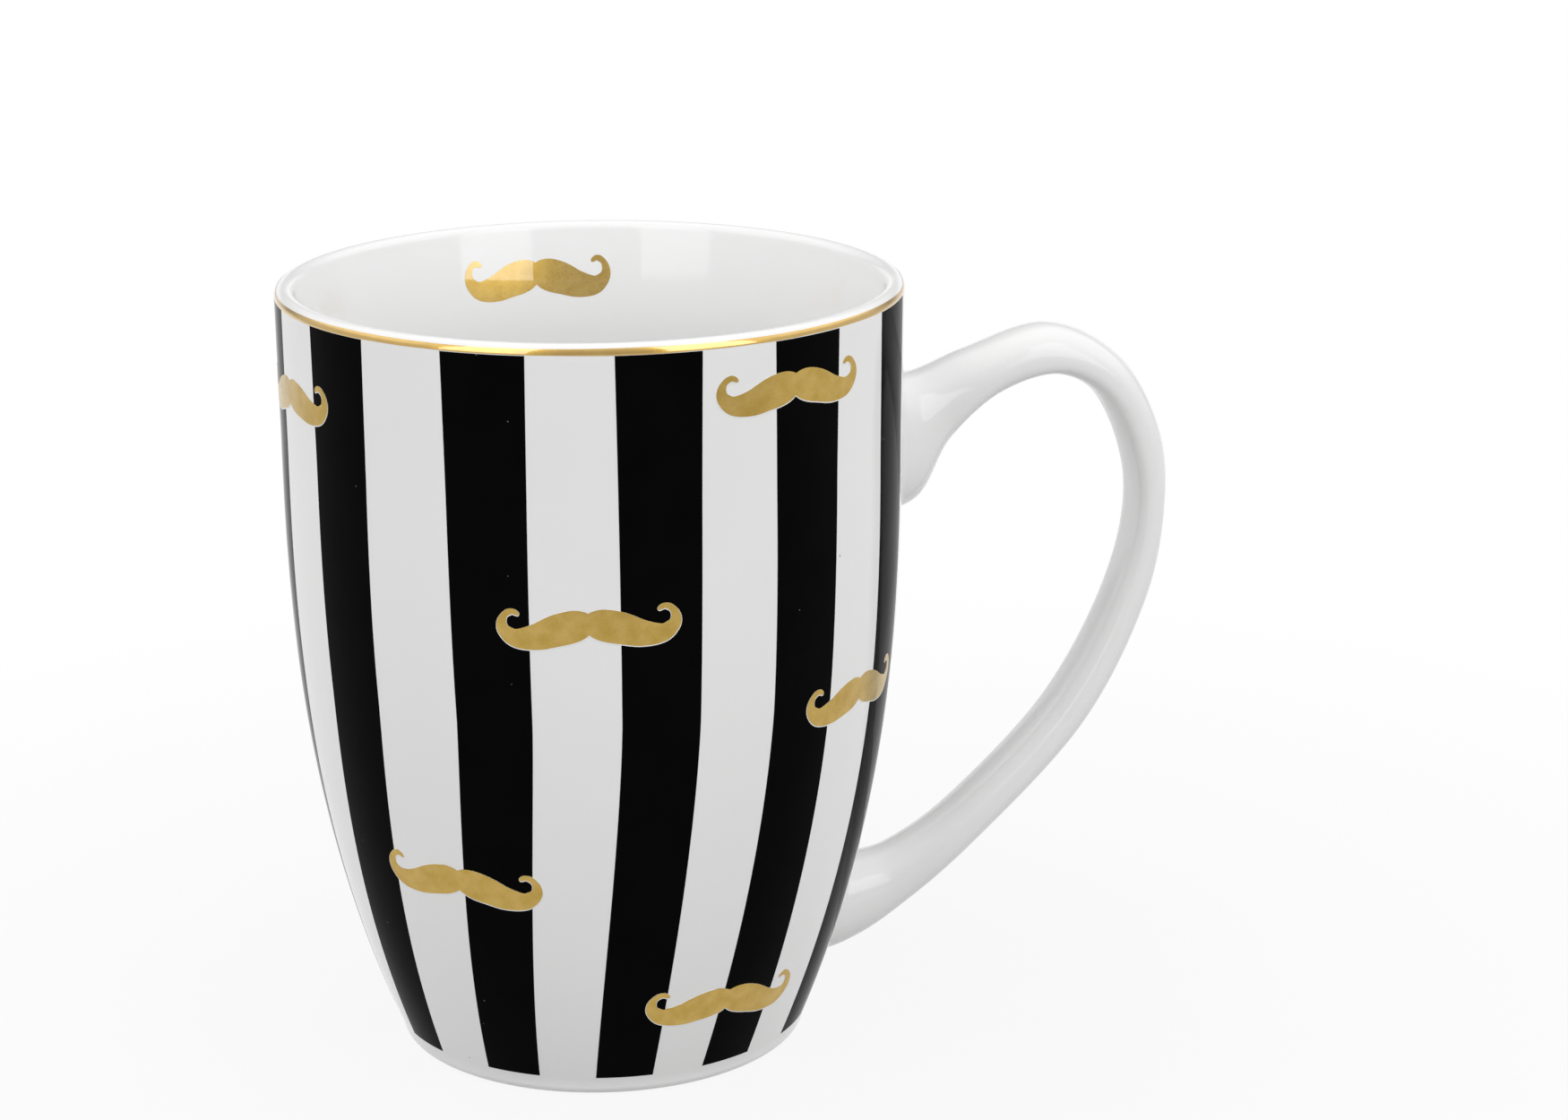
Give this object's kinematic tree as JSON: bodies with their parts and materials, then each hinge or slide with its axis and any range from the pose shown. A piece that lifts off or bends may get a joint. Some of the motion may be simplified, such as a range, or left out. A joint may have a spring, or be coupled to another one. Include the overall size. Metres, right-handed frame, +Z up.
{
  "type": "porcelain mug",
  "caption": "Large tapered porcelain mug with an ear handle, upright black stripes, a gold line round the lip and gold moustache transfers, for hot drinks.",
  "frame": {"origin": "on the table, under the middle of the mug's box with the handle included; the cup's own axis is at x = -22.4 mm", "axes": "+Z up, +X from the cup towards the handle, +Y to the left of someone who looks from the cup along the handle"},
  "size_m": [0.143, 0.0978, 0.1232],
  "materials": {
    "porcelain": "high gloss white glaze",
    "luting_slip": "glazed over, white",
    "black_transfer": "glossy black enamel fired into the glaze",
    "gold_transfer": "satin fired gold lustre"
  },
  "bodies": {
    "root": {"mug_body": "porcelain", "handle": "porcelain", "upper_slip_joint": "luting_slip", "lower_slip_joint": "luting_slip", "gold_rim_line": "gold_transfer", "black_stripe_01": "black_transfer", "black_stripe_02": "black_transfer", "black_stripe_03": "black_transfer", "black_stripe_04": "black_transfer", "black_stripe_05": "black_transfer", "black_stripe_06": "black_transfer", "black_stripe_07": "black_transfer", "black_stripe_08": "black_transfer", "black_stripe_09": "black_transfer", "black_stripe_10": "black_transfer", "black_stripe_11": "black_transfer", "gold_moustache_01": "gold_transfer", "gold_moustache_02": "gold_transfer", "gold_moustache_03": "gold_transfer", "gold_moustache_04": "gold_transfer", "gold_moustache_05": "gold_transfer", "gold_moustache_06": "gold_transfer", "gold_moustache_07": "gold_transfer", "gold_moustache_08": "gold_transfer", "gold_moustache_09": "gold_transfer", "gold_moustache_10": "gold_transfer", "gold_moustache_11": "gold_transfer", "gold_moustache_12": "gold_transfer", "inside_moustache": "gold_transfer"}
  },
  "joints": []
}
